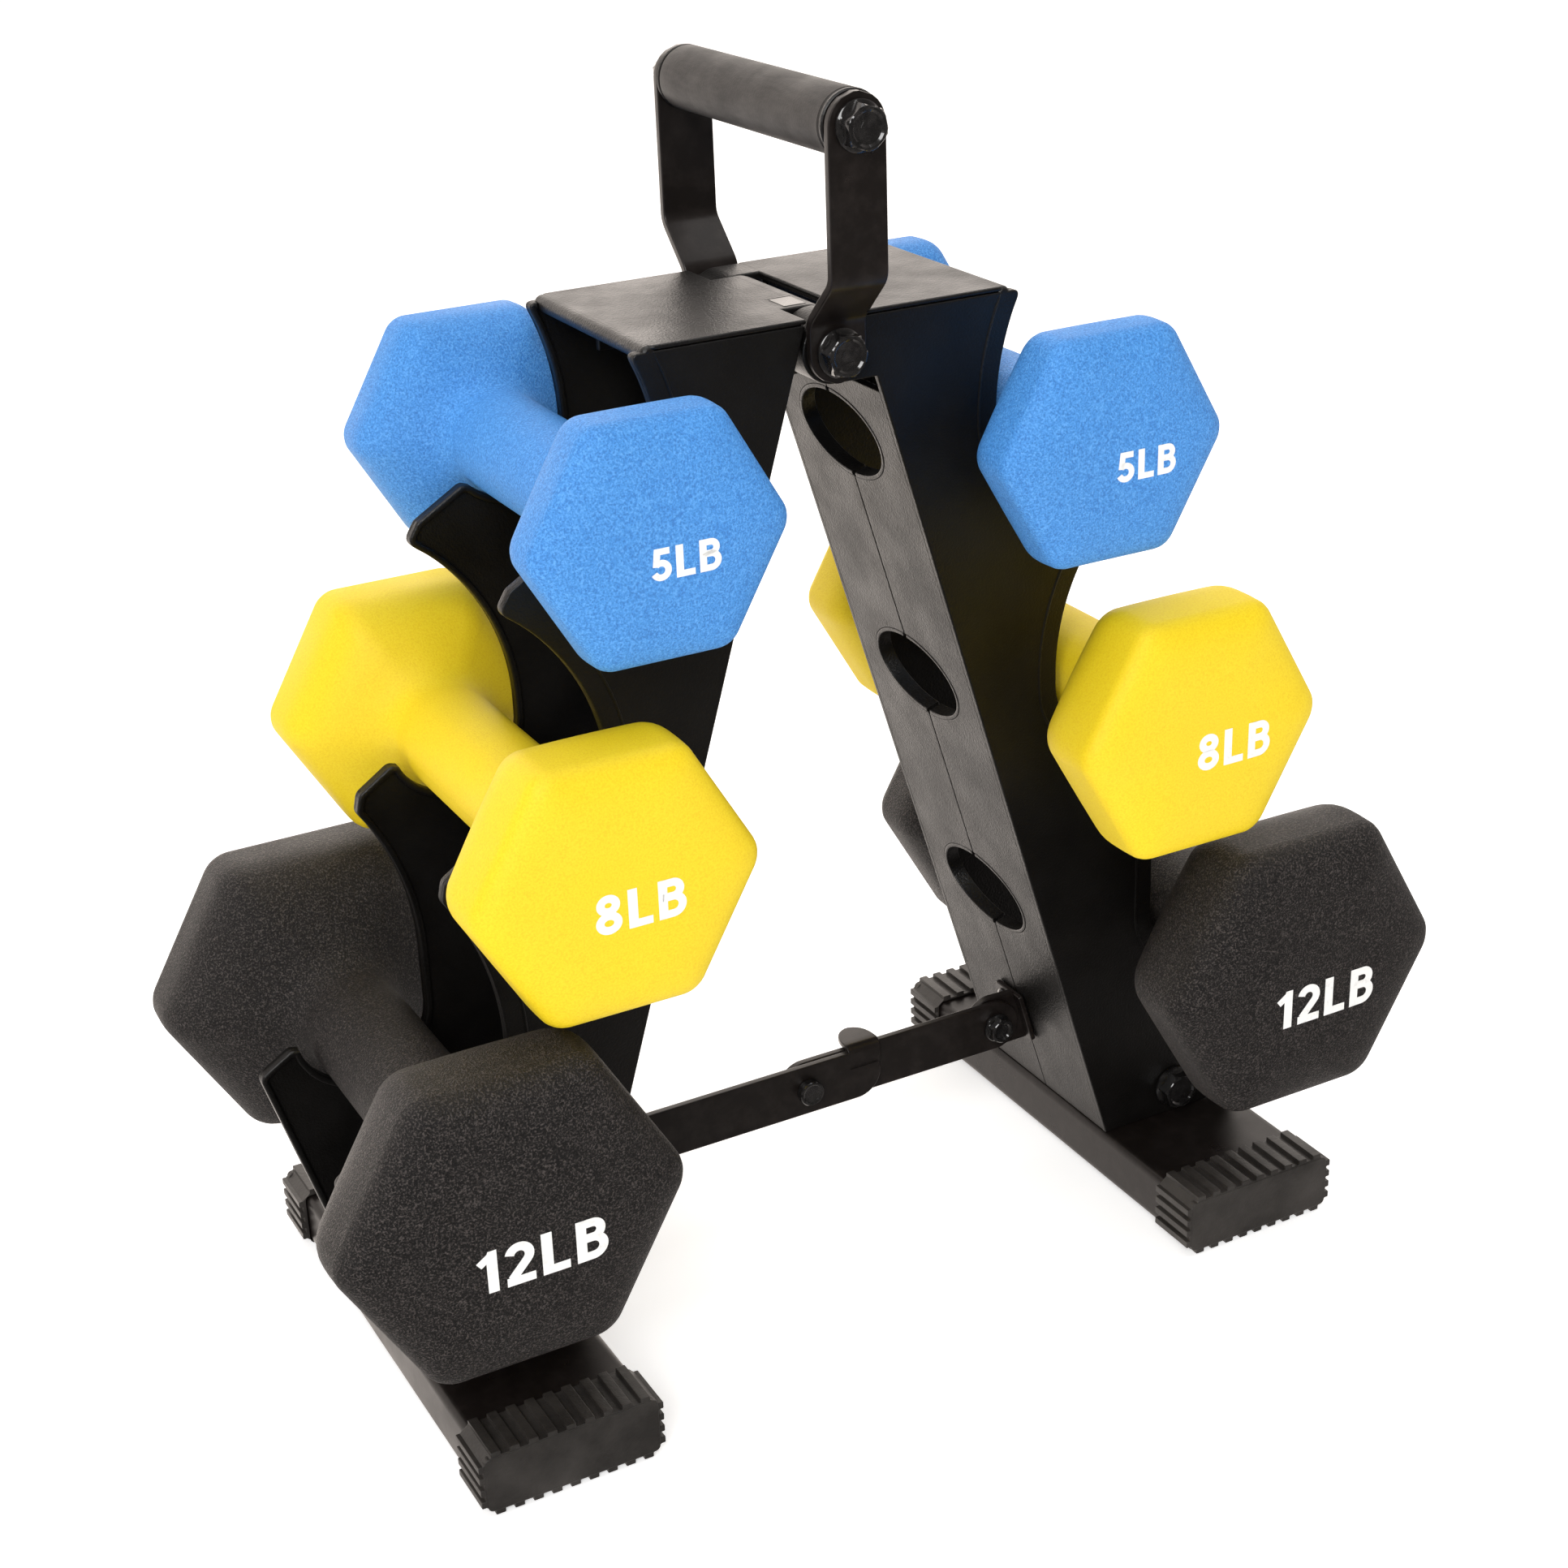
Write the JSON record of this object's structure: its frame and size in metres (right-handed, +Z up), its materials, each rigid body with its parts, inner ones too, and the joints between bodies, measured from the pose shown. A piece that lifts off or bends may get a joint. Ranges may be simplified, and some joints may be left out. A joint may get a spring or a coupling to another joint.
{
  "type": "dumbbell rack",
  "caption": "Folding A-frame dumbbell rack with hooked channel legs, ribbed feet, a spreader bar and a carry handle, holding hexagonal dumbbells.",
  "frame": {"origin": "on the floor, midway between the two feet, under the hinge axle", "axes": "+Z up, +X from the left leg to the right leg, Y along the hinge axle, front at -Y"},
  "size_m": [0.421, 0.2144, 0.4273],
  "materials": {
    "leg_plastic": "fine textured moulded black",
    "foot_cap": "matte textured black",
    "coated_steel": "satin black powder coat",
    "fastener": "glossy black oxide",
    "grip": "matte dark grey foam",
    "coat_5lb": "grainy blue neoprene coat over cast iron",
    "coat_8lb": "grainy yellow neoprene coat over cast iron",
    "coat_12lb": "grainy charcoal neoprene coat over cast iron"
  },
  "bodies": {
    "left_leg": {"left_leg_head": "leg_plastic", "left_leg_front_shell": "leg_plastic", "left_leg_rear_shell": "leg_plastic", "left_foot_tube": "coated_steel", "left_foot_bracket": "coated_steel", "left_foot_cap_front": "foot_cap", "left_foot_cap_rear": "foot_cap", "left_foot_bolt_front": "fastener", "left_foot_bolt_rear": "fastener", "left_foot_nut_front": "fastener", "left_foot_nut_rear": "fastener", "left_spreader_bracket": "coated_steel", "left_bracket_screw_upper": "fastener", "left_bracket_screw_lower": "fastener", "left_pivot_bolt": "fastener", "left_pivot_nut": "fastener", "left_pivot_spacer": "coated_steel", "hinge_tube": "coated_steel", "hinge_bolt_front": "fastener", "hinge_bolt_rear": "fastener"},
    "right_leg": {"right_leg_head": "leg_plastic", "right_leg_front_shell": "leg_plastic", "right_leg_rear_shell": "leg_plastic", "right_foot_tube": "coated_steel", "right_foot_bracket": "coated_steel", "right_foot_cap_front": "foot_cap", "right_foot_cap_rear": "foot_cap", "right_foot_bolt_front": "fastener", "right_foot_bolt_rear": "fastener", "right_foot_nut_front": "fastener", "right_foot_nut_rear": "fastener", "right_spreader_bracket": "coated_steel", "right_bracket_screw_upper": "fastener", "right_bracket_screw_lower": "fastener", "right_pivot_bolt": "fastener", "right_pivot_nut": "fastener"},
    "handle": {"handle_strap_front": "coated_steel", "handle_strap_rear": "coated_steel", "grip_sleeve": "grip", "grip_core_tube": "coated_steel", "grip_bolt_front": "fastener", "grip_bolt_rear": "fastener"},
    "left_link": {"left_spreader_link": "coated_steel", "spreader_rivet": "fastener"},
    "right_link": {"right_spreader_link": "coated_steel", "spreader_rivet_tail": "fastener"},
    "left_dumbbell_5": {"left_dumbbell_5lb": "coat_5lb"},
    "left_dumbbell_8": {"left_dumbbell_8lb": "coat_8lb"},
    "left_dumbbell_12": {"left_dumbbell_12lb": "coat_12lb"},
    "right_dumbbell_5": {"right_dumbbell_5lb": "coat_5lb"},
    "right_dumbbell_8": {"right_dumbbell_8lb": "coat_8lb"},
    "right_dumbbell_12": {"right_dumbbell_12lb": "coat_12lb"}
  },
  "joints": [
    {"name": "fold", "type": "hinge", "parent": "left_leg", "child": "right_leg", "pos_m": [0, 0, 0.345], "axis": [0, 1, 0], "range_deg": [0, 28]},
    {"name": "left_link_pivot", "type": "hinge", "parent": "left_leg", "child": "left_link", "pos_m": [-0.084, 0, 0.0585], "axis": [0, -1, 0], "range_deg": [0, 67.5]},
    {"name": "right_link_pivot", "type": "hinge", "parent": "right_leg", "child": "right_link", "pos_m": [0.084, 0, 0.0585], "axis": [0, 1, 0], "range_deg": [0, 67.5]},
    {"name": "handle_swing", "type": "hinge", "parent": "left_leg", "child": "handle", "pos_m": [0, 0, 0.345], "axis": [0, 1, 0], "range_deg": [-70, 70]},
    {"name": "left_lift_5", "type": "slide", "parent": "left_leg", "child": "left_dumbbell_5", "axis": [-0.6428, 0, 0.766], "range_m": [0, 0.15]},
    {"name": "left_lift_8", "type": "slide", "parent": "left_leg", "child": "left_dumbbell_8", "axis": [-0.6428, 0, 0.766], "range_m": [0, 0.15]},
    {"name": "left_lift_12", "type": "slide", "parent": "left_leg", "child": "left_dumbbell_12", "axis": [-0.6428, 0, 0.766], "range_m": [0, 0.15]},
    {"name": "right_lift_5", "type": "slide", "parent": "right_leg", "child": "right_dumbbell_5", "axis": [0.6428, 0, 0.766], "range_m": [0, 0.15]},
    {"name": "right_lift_8", "type": "slide", "parent": "right_leg", "child": "right_dumbbell_8", "axis": [0.6428, 0, 0.766], "range_m": [0, 0.15]},
    {"name": "right_lift_12", "type": "slide", "parent": "right_leg", "child": "right_dumbbell_12", "axis": [0.6428, 0, 0.766], "range_m": [0, 0.15]}
  ],
  "couplings": [
    {"joint": "left_link_pivot", "follows": "fold", "ratio": 2.407},
    {"joint": "right_link_pivot", "follows": "fold", "ratio": 2.407},
    {"joint": "left_lift_12", "follows": "left_lift_8", "ratio": 1},
    {"joint": "right_lift_12", "follows": "right_lift_8", "ratio": 1}
  ]
}
